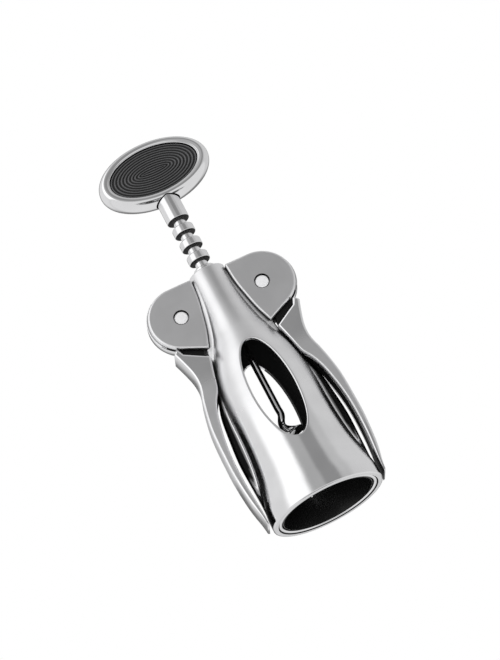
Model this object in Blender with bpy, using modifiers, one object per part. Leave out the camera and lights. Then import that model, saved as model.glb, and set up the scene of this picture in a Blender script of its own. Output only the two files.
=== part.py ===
"""Winged corkscrew, standing on the mouth of its bell with both wings down.

Metres, +Z up. The origin is the centre of the mouth, on the plane that the rim stands on.
+X points to the right wing, and -Y to the front that shows the window.
"""
import bmesh
import bpy
from math import ceil, cos, floor, pi, radians, sin, tan
from mathutils import Matrix, Vector

# Bell: a turned casting, with the neck on top and the mouth at the bottom
BELL_HEIGHT = 0.100
MOUTH_RADIUS = 0.0215
BELL_WALL = 0.0019
# Height and radius of the outer profile, as shares of the bell's height and the mouth's radius
BELL_PROFILE_SHARES = (
    (0.010, 1.000), (0.056, 0.994), (0.118, 0.944), (0.194, 0.884), (0.270, 0.847), (0.364, 0.823),
    (0.445, 0.809), (0.525, 0.767), (0.600, 0.698), (0.660, 0.605), (0.704, 0.525), (0.743, 0.461),
    (0.807, 0.395), (0.865, 0.354), (0.920, 0.332), (0.980, 0.322),
)
RIM_FILLET = 0.0005
NECK_LIP_FILLET = 0.0006

# Windows in the front and the back of the bell
WINDOW_HALF_WIDTH = 0.0080
WINDOW_HALF_HEIGHT = 0.0212
WINDOW_CENTRE_SHARE = 0.435

# Bright ring and black liner in the mouth
SEAT_GAP = 0.0003
RING_HEIGHT = 0.0060
RING_WALL = 0.0013
RING_RECESS = 0.0002
LINER_HEIGHT = 0.0200
LINER_WALL = 0.0016
LINER_LIP_HEIGHT = 0.0070
LINER_LIP_WALL = 0.0004
LINER_TAPER = 0.0009
STOP_THICKNESS = 0.0020
STOP_HOLE_RADIUS = 0.0120

# Rack: ring teeth on a round rod, with a plain collar under the handle
RACK_ROOT_RADIUS = 0.0024
RACK_RING_RADIUS = 0.00412
RACK_RING_HEIGHT = 0.00335
RACK_PITCH = 0.0062
RACK_RING_CHAMFER = 0.00035
RACK_TOP_HEIGHT = 0.1236
RACK_TAIL = 0.0030
RACK_REACH_BELOW_PIN = 0.0090
COLLAR_RADIUS = 0.00435
COLLAR_CHAMFER = 0.0004
COLLAR_BITE = 0.0032

# Worm: a wire that leaves the axis and winds down to its point
WORM_WIRE_RADIUS = 0.0013
WORM_COIL_RADIUS = 0.0039
WORM_PITCH = 0.0100
WORM_TIP_HEIGHT = 0.0055
WORM_TURNS = 2.5
WORM_FLARE_TURNS = 1.05
WORM_POINTS_PER_TURN = 18
WORM_POINT_TURNS = 0.45
WORM_POINT_SHARE = 0.12
WORM_SOCKET_DEPTH = 0.0120

# Ears and their pins: each pair of plates carries a wing's toothed hub
GEAR_PITCH_RADIUS = 0.0130
PIN_HEIGHT = 0.0865
PIN_RADIUS = 0.0025
PIN_RECESS = 0.0003
PIN_CLEARANCE = 0.0002
EAR_RADIUS = 0.0122
EAR_HALF_WIDTH = 0.0042
EAR_SLOT_HALF_WIDTH = 0.0023
EAR_BASE_SLOPE = radians(25)

# Webs down the sides of the bell, as shares of the bell's height and the mouth's radius
WEB_HALF_WIDTH = 0.0026
WEB_PROFILE_SHARES = (
    (0.045, 0.985), (0.100, 0.985), (0.200, 1.000), (0.280, 1.005), (0.370, 0.972), (0.460, 0.921),
    (0.520, 0.842), (0.580, 0.767), (0.640, 0.679), (0.705, 0.581),
)

# Gear teeth on the wings' hubs
TOOTH_CLEARANCE = 0.00035
TOOTH_ROOT_HALF_SHARE = 0.38
TOOTH_TIP_HALF_SHARE = 0.20
HUB_HALF_WIDTH = 0.0020
HUB_MARGIN = 0.0006
HUB_TOOTHLESS_LOW = radians(-48)
HUB_TOOTHLESS_HIGH = radians(124)

# Wings: channels that close over the webs
WING_LENGTH = 0.0853
WING_HALF_WIDTH = 0.0056
WING_CHANNEL_HALF_WIDTH = 0.0032
WING_SPINE = 0.0020
WING_TIP_WALL = 0.0030
SHOULDER_GAP = 0.0011
SHOULDER_DROP = 0.0026
SHOULDER_SLOPE = radians(30)
SHOULDER_START = radians(-56)
SHOULDER_END = radians(-60)
NECK_INSET = 0.0004
NECK_DEPTH = 0.0061
NECK_OUTER_DEPTH = 0.0041
# Outer and inner edges, as shares of the length: out from the line between the mouth's edge and the
# pin, and up from the tip
WING_OUTER_SHARES = (
    (0.094, 0.849), (0.074, 0.797), (0.056, 0.742), (0.049, 0.695), (0.052, 0.655), (0.063, 0.605),
    (0.074, 0.524), (0.078, 0.453), (0.074, 0.336), (0.067, 0.242), (0.049, 0.125), (0.027, 0.042),
    (0.019, 0.004),
)
WING_INNER_SHARES = (
    (0.011, 0.000), (0.015, 0.050), (0.020, 0.100), (0.033, 0.196), (0.041, 0.312), (0.039, 0.406),
    (0.026, 0.512), (0.006, 0.582), (-0.019, 0.632), (-0.032, 0.700), (-0.046, 0.772),
)

# Bush: the guide ring at the top of the neck
BUSH_HEIGHT = 0.0030
BUSH_WALL = 0.0009
BUSH_CLEARANCE = 0.0003

# Handle: a polished oval with a rubber pad let into each face
HANDLE_HALF_LENGTH = 0.0219
HANDLE_HALF_HEIGHT = 0.0129
HANDLE_HALF_THICKNESS = 0.0049
HANDLE_RIM_ROUND = 0.0042
HANDLE_CLEARANCE = 0.0083
INLAY_HALF_LENGTH = 0.0176
INLAY_HALF_HEIGHT = 0.0096
INLAY_RECESS = 0.0009
INLAY_THICKNESS = 0.0026
INLAY_CHAMFER = 0.0004

# Cuts run this far past what they cut, and round pieces have this many sides
OVERRUN = 0.002
ROUND_STEPS = 52
SMALL_ROUND_STEPS = 24
MERGE = 0.00001

# Sizes that follow from the ones above
rack_gap = RACK_PITCH - RACK_RING_HEIGHT
rack_rings = int((RACK_TOP_HEIGHT - PIN_HEIGHT + RACK_REACH_BELOW_PIN) / RACK_PITCH)
rack_bottom = RACK_TOP_HEIGHT - rack_rings * RACK_PITCH
pin_offset = GEAR_PITCH_RADIUS + (RACK_RING_RADIUS + RACK_ROOT_RADIUS) / 2
tooth_tip_radius = pin_offset - RACK_ROOT_RADIUS - TOOTH_CLEARANCE
tooth_root_radius = pin_offset - RACK_RING_RADIUS - TOOTH_CLEARANCE
hub_radius = EAR_RADIUS + HUB_MARGIN
slot_radius = tooth_tip_radius + HUB_MARGIN
bush_bore = COLLAR_RADIUS + BUSH_CLEARANCE
bush_radius = bush_bore + BUSH_WALL
bore_radius = bush_radius + SEAT_GAP
ring_radius = MOUTH_RADIUS - BELL_WALL - SEAT_GAP
ring_bore = ring_radius - RING_WALL
liner_radius = ring_bore - SEAT_GAP
handle_height = RACK_TOP_HEIGHT + HANDLE_CLEARANCE + HANDLE_HALF_HEIGHT

parts = bpy.data.collections.new("winged_corkscrew")
cutters = bpy.data.collections.new("cutters")


def empty_scene():
    for old in list(bpy.data.objects):
        bpy.data.objects.remove(old, do_unlink=True)
    for collection in (parts, cutters):
        bpy.context.scene.collection.children.link(collection)


def finish(name, colour, roughness, metallic):
    material = bpy.data.materials.new(name)
    material.use_nodes = True
    shader = material.node_tree.nodes["Principled BSDF"]
    shader.inputs["Base Color"].default_value = (*colour, 1)
    shader.inputs["Roughness"].default_value = roughness
    shader.inputs["Metallic"].default_value = metallic
    return material


def polished(name):
    return finish(name, (0.62, 0.62, 0.63), 0.12, 1)


def satin(name):
    return finish(name, (0.55, 0.55, 0.56), 0.25, 1)


def black_plastic(name):
    return finish(name, (0.012, 0.012, 0.012), 0.4, 0)


def rubber(name):
    return finish(name, (0.045, 0.045, 0.047), 0.6, 0)


def add_object(name, mesh, material=None):
    shape = bpy.data.objects.new(name, mesh)
    if material:
        mesh.materials.clear()
        mesh.materials.append(material)
        parts.objects.link(shape)
    else:
        cutters.objects.link(shape)
        shape.display_type = "WIRE"
        shape.hide_render = True
    return shape


def smooth_line(stations, steps=4):
    """Points of a smooth curve through the stations (Catmull-Rom)."""
    padded = [stations[0], *stations, stations[-1]]
    points = []
    for a, b, c, d in zip(padded, padded[1:], padded[2:], padded[3:]):
        for step in range(steps):
            t = step / steps
            weights = (-t + 2 * t**2 - t**3, 2 - 5 * t**2 + 3 * t**3, t + 4 * t**2 - 3 * t**3, t**3 - t**2)
            pair = (sum(w * p[axis] for w, p in zip(weights, (a, b, c, d))) / 2 for axis in (0, 1))
            points.append(tuple(pair))
    points.append(tuple(stations[-1]))
    return points


def arc(centre, radius, start, end, steps=12):
    angles = (start + (end - start) * step / steps for step in range(steps + 1))
    return [(centre[0] + radius * cos(angle), centre[1] + radius * sin(angle)) for angle in angles]


def turned(name, profile, material=None, steps=ROUND_STEPS):
    """A closed solid turned about Z from (radius, height) pairs that run down its outer side."""
    mesh = bpy.data.meshes.new(name)
    corners = [(radius, 0, height) for radius, height in profile]
    closed = profile[0][0] > 0 or profile[-1][0] > 0
    edges = [(i, i + 1) for i in range(len(corners) - 1)]
    if closed:
        edges.append((len(corners) - 1, 0))
    mesh.from_pydata(corners, edges, [])
    shape = add_object(name, mesh, material)
    screw = shape.modifiers.new("turn", "SCREW")
    screw.steps = steps
    screw.render_steps = steps
    screw.use_merge_vertices = True
    screw.merge_threshold = MERGE
    screw.use_normal_calculate = False
    screw.use_smooth_shade = True
    return shape


def plate(name, outline, half_thickness, material=None):
    """A flat outline of (x, z) points, thickened equally to the front and the back."""
    curve = bpy.data.curves.new(name, "CURVE")
    curve.dimensions = "2D"
    curve.fill_mode = "BOTH"
    curve.extrude = half_thickness
    spline = curve.splines.new("POLY")
    spline.points.add(len(outline) - 1)
    for point, (x, z) in zip(spline.points, outline):
        point.co = (x, z, 0, 1)
    spline.use_cyclic_u = True
    return meshed(name, curve, Matrix.Rotation(pi / 2, 4, "X"), material)


def meshed(name, curve, placement, material=None):
    """The closed mesh of a curve object, with its caps welded on."""
    wire = bpy.data.objects.new(name + "_curve", curve)
    cutters.objects.link(wire)
    wire.matrix_world = placement
    bpy.context.view_layer.update()
    evaluated = wire.evaluated_get(bpy.context.evaluated_depsgraph_get())
    mesh = bpy.data.meshes.new_from_object(evaluated)
    body = bmesh.new()
    body.from_mesh(mesh)
    bmesh.ops.remove_doubles(body, verts=body.verts, dist=MERGE / 10)
    bmesh.ops.recalc_face_normals(body, faces=body.faces)
    body.to_mesh(mesh)
    body.free()
    mesh.name = name
    bpy.data.objects.remove(wire, do_unlink=True)
    shape = add_object(name, mesh, material)
    shape.matrix_world = placement
    return shape


def cylinder_along_y(name, centre, radius, half_length, material=None, steps=SMALL_ROUND_STEPS):
    mesh = bpy.data.meshes.new(name)
    body = bmesh.new()
    bmesh.ops.create_cone(body, cap_ends=True, segments=steps, radius1=radius, radius2=radius,
                          depth=2 * half_length)
    body.to_mesh(mesh)
    body.free()
    shape = add_object(name, mesh, material)
    shape.location = (centre[0], 0, centre[1])
    shape.rotation_euler.x = pi / 2
    return shape


def oval_along_y(name, half_length, half_height, half_depth, material=None, steps=ROUND_STEPS):
    """An elliptical cylinder at the origin, with its axis along Y."""
    mesh = bpy.data.meshes.new(name)
    body = bmesh.new()
    bmesh.ops.create_cone(body, cap_ends=True, segments=steps, radius1=1, radius2=1, depth=2)
    bmesh.ops.rotate(body, cent=(0, 0, 0), matrix=Matrix.Rotation(pi / 2, 3, "X"), verts=body.verts)
    bmesh.ops.scale(body, vec=(half_length, half_depth, half_height), verts=body.verts)
    body.to_mesh(mesh)
    body.free()
    return add_object(name, mesh, material)


def boolean(shape, other, operation):
    modifier = shape.modifiers.new(other.name, "BOOLEAN")
    modifier.object = other
    modifier.operation = operation
    modifier.solver = "EXACT"


def bell_profile():
    """Outer side of the bell from the neck's lip to the mouth, as (radius, height) pairs."""
    stations = [(r * MOUTH_RADIUS, z * BELL_HEIGHT) for z, r in reversed(BELL_PROFILE_SHARES)]
    side = smooth_line(stations, 2)
    lip_radius = side[0][0]
    lip = arc((lip_radius - NECK_LIP_FILLET, BELL_HEIGHT - NECK_LIP_FILLET), NECK_LIP_FILLET, pi / 2, 0, 4)
    rim = arc((MOUTH_RADIUS - RIM_FILLET, RIM_FILLET), RIM_FILLET, 0, -pi / 2, 4)
    return lip + side + rim


def bell_radius(height):
    """Outer radius of the bell at a height, read from its profile."""
    side = bell_profile()
    for (upper_r, upper_z), (lower_r, lower_z) in zip(side, side[1:]):
        if lower_z <= height <= upper_z and upper_z > lower_z:
            return lower_r + (upper_r - lower_r) * (height - lower_z) / (upper_z - lower_z)
    return MOUTH_RADIUS


def seat_heights():
    """Heights of the mouth ring's top and of the liner's top."""
    ring_top = RING_RECESS + RING_HEIGHT
    liner_top = RING_RECESS + SEAT_GAP + LINER_HEIGHT
    return ring_top, liner_top


def bell_cavity():
    """The bell's inside: ring seat, liner seat, open belly and the bore of the neck."""
    ring_top, liner_top = seat_heights()
    belly = []
    for z_share, r_share in BELL_PROFILE_SHARES:
        height = z_share * BELL_HEIGHT
        radius = r_share * MOUTH_RADIUS - BELL_WALL
        if height > liner_top + OVERRUN and radius > bore_radius:
            belly.append((radius, height))
    seat = ring_radius + SEAT_GAP
    profile = [(0, BELL_HEIGHT + OVERRUN), (bore_radius, BELL_HEIGHT + OVERRUN)]
    profile += [(bore_radius, belly[-1][1] + OVERRUN), *reversed(belly)]
    profile += [(liner_radius - LINER_TAPER + SEAT_GAP, liner_top + SEAT_GAP)]
    profile += [(liner_radius + SEAT_GAP, ring_top + SEAT_GAP), (seat, ring_top + SEAT_GAP)]
    profile += [(seat, -OVERRUN), (0, -OVERRUN)]
    cavity = turned("bell_cavity", profile)
    # Half a side round, so that no corner meets the edges of the bell's flat end
    cavity.rotation_euler.z = pi / ROUND_STEPS
    return cavity


def ear_outline(side):
    """Ear plate: round about the pin, level on top, and sloping down to the bell below."""
    corner = WEB_PROFILE_SHARES[-1][1] * MOUTH_RADIUS
    start = EAR_BASE_SLOPE - pi / 2
    tangent = (pin_offset + EAR_RADIUS * cos(start), PIN_HEIGHT + EAR_RADIUS * sin(start))
    base = tangent[1] - (tangent[0] - corner) * tan(EAR_BASE_SLOPE)
    inside = bore_radius + BELL_WALL / 2
    outline = [(inside, base), (corner, base)]
    outline += arc((pin_offset, PIN_HEIGHT), EAR_RADIUS, start, pi / 2, 20)
    outline.append((inside, PIN_HEIGHT + EAR_RADIUS))
    return [(side * x, z) for x, z in outline]


def web_outline(side):
    """Side web: its outer edge, closed inside the bell's wall."""
    stations = [(r * MOUTH_RADIUS, z * BELL_HEIGHT) for z, r in WEB_PROFILE_SHARES]
    edge = smooth_line(stations, 3)
    inner = [(bell_radius(z) - BELL_WALL / 2, z) for x, z in reversed(edge)]
    return [(side * x, z) for x, z in edge + inner]


def make_bell_body():
    body = turned("bell_body", bell_profile() + [(0, 0), (0, BELL_HEIGHT)], satin("bell_body"))
    for side, word in ((-1, "left"), (1, "right")):
        boolean(body, plate(word + "_ear", ear_outline(side), EAR_HALF_WIDTH), "UNION")
        boolean(body, plate(word + "_web", web_outline(side), WEB_HALF_WIDTH), "UNION")
    boolean(body, bell_cavity(), "DIFFERENCE")
    window = oval_along_y("window", WINDOW_HALF_WIDTH, WINDOW_HALF_HEIGHT, MOUTH_RADIUS + OVERRUN)
    window.location.z = WINDOW_CENTRE_SHARE * BELL_HEIGHT
    boolean(body, window, "DIFFERENCE")
    for side, word in ((-1, "left"), (1, "right")):
        centre = (side * pin_offset, PIN_HEIGHT)
        slot = cylinder_along_y(word + "_slot", centre, slot_radius, EAR_SLOT_HALF_WIDTH, steps=ROUND_STEPS)
        boolean(body, slot, "DIFFERENCE")
        hole = cylinder_along_y(word + "_hole", centre, PIN_RADIUS + PIN_CLEARANCE, EAR_HALF_WIDTH + OVERRUN)
        boolean(body, hole, "DIFFERENCE")
    return body


def make_mouth_ring():
    top = RING_RECESS + RING_HEIGHT
    profile = [(ring_bore, top), (ring_radius, top), (ring_radius, RING_RECESS), (ring_bore, RING_RECESS)]
    return turned("mouth_ring", profile, polished("mouth_ring"))


def make_bell_liner():
    ring_top, liner_top = seat_heights()
    foot = RING_RECESS + SEAT_GAP
    shoulder = liner_top - STOP_THICKNESS
    narrow = liner_radius - LINER_TAPER
    profile = [
        (STOP_HOLE_RADIUS, liner_top), (narrow, liner_top), (liner_radius, ring_top), (liner_radius, foot),
        (liner_radius - LINER_LIP_WALL, foot), (liner_radius - LINER_WALL, foot + LINER_LIP_HEIGHT),
        (narrow - LINER_WALL, shoulder), (STOP_HOLE_RADIUS, shoulder),
    ]
    return turned("bell_liner", profile, black_plastic("bell_liner"))


def make_neck_bush():
    top = BELL_HEIGHT - NECK_LIP_FILLET
    bottom = top - BUSH_HEIGHT
    profile = [(bush_bore, top), (bush_radius, top), (bush_radius, bottom), (bush_bore, bottom)]
    return turned("neck_bush", profile, black_plastic("neck_bush"))


def make_rack_rod():
    """The rod's profile from the collar's top down to the tail, then up the worm's socket."""
    top = RACK_TOP_HEIGHT + HANDLE_CLEARANCE + COLLAR_BITE
    profile = [(0, top), (COLLAR_RADIUS, top), (COLLAR_RADIUS, RACK_TOP_HEIGHT + COLLAR_CHAMFER),
               (COLLAR_RADIUS - COLLAR_CHAMFER, RACK_TOP_HEIGHT)]
    for ring in range(1, rack_rings + 1):
        bottom = RACK_TOP_HEIGHT - ring * RACK_PITCH
        ring_top = bottom + RACK_RING_HEIGHT
        shy = RACK_RING_RADIUS - RACK_RING_CHAMFER
        profile += [(RACK_ROOT_RADIUS, ring_top + rack_gap), (RACK_ROOT_RADIUS, ring_top), (shy, ring_top),
                    (RACK_RING_RADIUS, ring_top - RACK_RING_CHAMFER),
                    (RACK_RING_RADIUS, bottom + RACK_RING_CHAMFER), (shy, bottom)]
    tail = rack_bottom - RACK_TAIL
    socket = WORM_WIRE_RADIUS + SEAT_GAP
    profile += [(RACK_ROOT_RADIUS, rack_bottom), (RACK_ROOT_RADIUS, tail), (socket, tail)]
    profile += [(socket, tail + WORM_SOCKET_DEPTH), (0, tail + WORM_SOCKET_DEPTH)]
    return turned("rack_rod", profile, polished("rack_rod"), SMALL_ROUND_STEPS)


def worm_points():
    """Points and width shares of the wire, from its tip up to the top of its straight shank."""
    points = []
    for step in range(int((WORM_TURNS + WORM_FLARE_TURNS) * WORM_POINTS_PER_TURN) + 1):
        turns = step / WORM_POINTS_PER_TURN
        flare = max(turns - WORM_TURNS, 0) / WORM_FLARE_TURNS
        radius = WORM_COIL_RADIUS * (1 - flare) ** 2
        angle = pi + 2 * pi * turns
        share = WORM_POINT_SHARE + (1 - WORM_POINT_SHARE) * min(turns / WORM_POINT_TURNS, 1)
        points.append((radius * cos(angle), radius * sin(angle), WORM_TIP_HEIGHT + turns * WORM_PITCH, share))
    shank_top = rack_bottom - RACK_TAIL + WORM_SOCKET_DEPTH - SEAT_GAP
    points.append((0, 0, shank_top, 1))
    return points


def make_worm():
    curve = bpy.data.curves.new("worm", "CURVE")
    curve.dimensions = "3D"
    curve.bevel_depth = WORM_WIRE_RADIUS
    curve.bevel_resolution = 2
    curve.use_fill_caps = True
    spline = curve.splines.new("POLY")
    points = worm_points()
    spline.points.add(len(points) - 1)
    for point, (x, y, z, share) in zip(spline.points, points):
        point.co = (x, y, z, 1)
        point.radius = share
    return meshed("worm", curve, Matrix(), polished("worm"))


def report_worm_gap():
    """The least gap of the wire to itself, measured over points a turn or more apart."""
    points = [Vector(point[:3]) for point in worm_points()[:-1]]
    far = WORM_POINTS_PER_TURN // 2
    gaps = [(points[i] - points[j]).length for i in range(len(points)) for j in range(i + far, len(points))]
    print("worm's least gap to itself, mm:", round((min(gaps) - 2 * WORM_WIRE_RADIUS) * 1000, 2))


def gear_outline():
    """The hub's outline about the pin of the right wing, with the teeth towards the rack."""
    pitch_angle = RACK_PITCH / GEAR_PITCH_RADIUS
    nearest_gap = rack_bottom + RACK_RING_HEIGHT + rack_gap / 2
    nearest = (nearest_gap - PIN_HEIGHT) / GEAR_PITCH_RADIUS
    root = RACK_PITCH * TOOTH_ROOT_HALF_SHARE / 2 / tooth_root_radius
    tip = RACK_PITCH * TOOTH_TIP_HALF_SHARE / 2 / tooth_tip_radius
    # Angles run from the direction of the rack, upwards
    polar = [(HUB_TOOTHLESS_LOW, hub_radius), (HUB_TOOTHLESS_LOW, tooth_root_radius)]
    lowest = ceil((HUB_TOOTHLESS_LOW + root - nearest) / pitch_angle)
    highest = floor((HUB_TOOTHLESS_HIGH - root - nearest) / pitch_angle)
    for tooth in range(lowest, highest + 1):
        middle = nearest + tooth * pitch_angle
        polar += [(middle - root, tooth_root_radius), (middle - tip, tooth_tip_radius),
                  (middle + tip, tooth_tip_radius), (middle + root, tooth_root_radius)]
        polar.append((middle + pitch_angle / 2, tooth_root_radius))
    polar = [p for p in polar if p[0] <= HUB_TOOTHLESS_HIGH]
    polar += [(HUB_TOOTHLESS_HIGH, tooth_root_radius), (HUB_TOOTHLESS_HIGH, hub_radius)]
    end = 2 * pi + HUB_TOOTHLESS_LOW
    steps = 16
    for step in range(1, steps):
        polar.append((HUB_TOOTHLESS_HIGH + (end - HUB_TOOTHLESS_HIGH) * step / steps, hub_radius))
    return [(pin_offset - r * cos(a), PIN_HEIGHT + r * sin(a)) for a, r in polar]


def wing_point(share_pair):
    """A place on the wing: out from the line between the mouth's edge and the pin, up from the tip."""
    out, up = share_pair
    line = MOUTH_RADIUS + (pin_offset - MOUTH_RADIUS) * up
    tip = PIN_HEIGHT - WING_LENGTH
    return (line + out * WING_LENGTH, tip + up * WING_LENGTH)


def shoulder_line():
    """The wing's top edge: round under the ear, then a line that falls towards the bell."""
    centre = (pin_offset, PIN_HEIGHT)
    top = arc(centre, EAR_RADIUS + SHOULDER_GAP, SHOULDER_START, SHOULDER_END, 4)
    distance = EAR_RADIUS + SHOULDER_DROP
    inner_x = wing_point(WING_INNER_SHARES[-1])[0]
    outer_x = top[-1][0] - SHOULDER_GAP
    for x in (outer_x, inner_x):
        drop = (distance - (x - pin_offset) * sin(SHOULDER_SLOPE)) / cos(SHOULDER_SLOPE)
        top.append((x, PIN_HEIGHT - drop))
    return top


def wing_outline():
    outer = smooth_line([wing_point(pair) for pair in WING_OUTER_SHARES], 3)
    inner = smooth_line([wing_point(pair) for pair in WING_INNER_SHARES], 3)
    shoulder = shoulder_line()
    inner = [point for point in inner if point[1] < shoulder[-1][1]]
    return shoulder[::-1] + outer + inner


def neck_outline():
    """The narrow neck that joins the hub to the wing between the ear plates."""
    shoulder = shoulder_line()
    left = pin_offset + NECK_INSET
    return [(left, PIN_HEIGHT - NECK_DEPTH), (left, shoulder[-2][1] - NECK_DEPTH),
            (shoulder[-2][0], shoulder[-2][1] - NECK_OUTER_DEPTH), shoulder[2],
            (pin_offset + NECK_DEPTH, PIN_HEIGHT - NECK_DEPTH)]


def channel_outline():
    """What is cut from the wing's inner side, so that it closes over the web."""
    outer = smooth_line([wing_point(pair) for pair in WING_OUTER_SHARES], 3)
    tip = PIN_HEIGHT - WING_LENGTH
    spine = [(x - WING_SPINE, z) for x, z in outer if z > tip + WING_TIP_WALL]
    top = shoulder_line()[-1][1] + OVERRUN
    clear = [point for point in spine if point[1] < top - EAR_RADIUS]
    web_top = (WEB_PROFILE_SHARES[-1][1] * MOUTH_RADIUS + SHOULDER_GAP, top)
    inside = bore_radius
    return [(inside, top), web_top, *clear, (clear[-1][0], tip + WING_TIP_WALL), (inside, tip + WING_TIP_WALL)]


def make_wing(side, word):
    def mirrored(outline):
        return [(side * x, z) for x, z in outline]

    name = word + "_lever"
    wing = plate(name, mirrored(wing_outline()), WING_HALF_WIDTH, satin(name))
    channel = plate(name + "_channel", mirrored(channel_outline()), WING_CHANNEL_HALF_WIDTH)
    boolean(wing, channel, "DIFFERENCE")
    boolean(wing, plate(name + "_neck", mirrored(neck_outline()), HUB_HALF_WIDTH), "UNION")
    boolean(wing, plate(name + "_gear", mirrored(gear_outline()), HUB_HALF_WIDTH), "UNION")
    hole = cylinder_along_y(name + "_hole", (side * pin_offset, PIN_HEIGHT), PIN_RADIUS + PIN_CLEARANCE,
                            EAR_HALF_WIDTH + OVERRUN)
    boolean(wing, hole, "DIFFERENCE")
    pin = cylinder_along_y(name + "_pin", (side * pin_offset, PIN_HEIGHT), PIN_RADIUS,
                           EAR_HALF_WIDTH - PIN_RECESS, polished(name + "_pin"))
    return wing, pin


def make_handle():
    frame = oval_along_y("handle_frame", HANDLE_HALF_LENGTH, HANDLE_HALF_HEIGHT, HANDLE_HALF_THICKNESS,
                         polished("handle_frame"))
    frame.location.z = handle_height
    rounding = frame.modifiers.new("rim", "BEVEL")
    rounding.width = HANDLE_RIM_ROUND
    rounding.segments = 5
    rounding.limit_method = "ANGLE"
    rounding.angle_limit = radians(60)
    pad_face = HANDLE_HALF_THICKNESS - INLAY_RECESS
    for side, word in ((-1, "front"), (1, "back")):
        floor = pad_face - INLAY_THICKNESS - SEAT_GAP
        depth = HANDLE_HALF_THICKNESS + OVERRUN - floor
        pocket = oval_along_y(word + "_pocket", INLAY_HALF_LENGTH, INLAY_HALF_HEIGHT, depth / 2)
        pocket.location = (0, side * (floor + depth / 2), handle_height)
        boolean(frame, pocket, "DIFFERENCE")
        name = "handle_inlay_" + word
        pad = oval_along_y(name, INLAY_HALF_LENGTH - SEAT_GAP, INLAY_HALF_HEIGHT - SEAT_GAP,
                           INLAY_THICKNESS / 2, rubber(name))
        pad.location = (0, side * (pad_face - INLAY_THICKNESS / 2), handle_height)
        edge = pad.modifiers.new("edge", "BEVEL")
        edge.width = INLAY_CHAMFER
        edge.segments = 1
        edge.limit_method = "ANGLE"
        edge.angle_limit = radians(60)
    collar_top = RACK_TOP_HEIGHT + HANDLE_CLEARANCE + COLLAR_BITE + SEAT_GAP
    collar_foot = RACK_TOP_HEIGHT
    socket = turned("collar_socket", [(0, collar_top), (COLLAR_RADIUS + SEAT_GAP, collar_top),
                                      (COLLAR_RADIUS + SEAT_GAP, collar_foot), (0, collar_foot)],
                    steps=SMALL_ROUND_STEPS)
    boolean(frame, socket, "DIFFERENCE")


def shade_round_pieces():
    for shape in parts.objects:
        shape.data.shade_smooth()
        shape.data.set_sharp_from_angle(angle=radians(40))


def main():
    empty_scene()
    make_bell_body()
    make_mouth_ring()
    make_bell_liner()
    make_neck_bush()
    make_rack_rod()
    make_worm()
    report_worm_gap()
    make_wing(-1, "left")
    make_wing(1, "right")
    make_handle()
    shade_round_pieces()


main()
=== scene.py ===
"""Photograph-like scene of a winged corkscrew that stands on the mouth of its bell.

Metres, +Z up, -Y the front with the window, +X the right wing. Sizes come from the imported
frame where it has them, and the rest are named values of the piece that they belong to.
"""
from contextlib import contextmanager
from itertools import product
from math import ceil, cos, floor, pi, radians, sin, tan

import bmesh
import bpy
import numpy as np
from mathutils import Matrix, Vector


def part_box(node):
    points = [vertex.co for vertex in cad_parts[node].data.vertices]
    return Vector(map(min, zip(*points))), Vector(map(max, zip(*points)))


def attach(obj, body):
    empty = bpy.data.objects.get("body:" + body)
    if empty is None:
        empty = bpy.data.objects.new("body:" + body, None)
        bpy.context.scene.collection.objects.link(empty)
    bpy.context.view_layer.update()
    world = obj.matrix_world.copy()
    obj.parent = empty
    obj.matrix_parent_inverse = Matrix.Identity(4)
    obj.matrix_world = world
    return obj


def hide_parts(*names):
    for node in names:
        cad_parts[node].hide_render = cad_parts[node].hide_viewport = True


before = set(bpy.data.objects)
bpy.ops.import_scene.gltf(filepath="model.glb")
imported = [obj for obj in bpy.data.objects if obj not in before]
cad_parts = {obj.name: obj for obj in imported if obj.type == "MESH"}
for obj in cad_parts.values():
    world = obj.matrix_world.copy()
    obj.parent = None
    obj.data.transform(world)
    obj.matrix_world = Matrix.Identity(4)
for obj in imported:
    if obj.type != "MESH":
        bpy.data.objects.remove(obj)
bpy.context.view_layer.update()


def box_centre(node):
    low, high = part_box(node)
    return [(a + b) / 2 for a, b in zip(low, high)]


def box_half(node):
    low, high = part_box(node)
    return [(b - a) / 2 for a, b in zip(low, high)]


# Margin inside the solids' box, reach of a weld, and how near and square to a plane a face on it lies
HAIR = 0.00002
WELD_REACH = 0.000002
PLANE_REACH = 0.0001
PLANE_COSINE = 0.9995

# Cosines that tell how a face lies: facing a direction, roughly level, across a direction
FACING = 0.9
LEVEL = 0.75
ACROSS = 0.1

# Angles in degrees between faces: where a plate's edge is rounded, and where shading breaks
ROUNDED_ANGLE = 50
CREASE_ANGLE = 35

# Sizes that the CAD settles, the gap between fitted pieces, and how far a cut runs past them
BELL_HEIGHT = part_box("bell_body")[1][2]
MOUTH_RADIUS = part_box("bell_body")[1][1] - HAIR
PIN_OFFSET, _, PIN_HEIGHT = box_centre("right_lever_pin")
PIN_RADIUS, PIN_HALF_LENGTH, _ = box_half("right_lever_pin")
PIN = (PIN_OFFSET, PIN_HEIGHT)
SEAT_GAP = 0.0003
OVERRUN = 0.002
SIDES = ((-1, "left"), (1, "right"))

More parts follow.
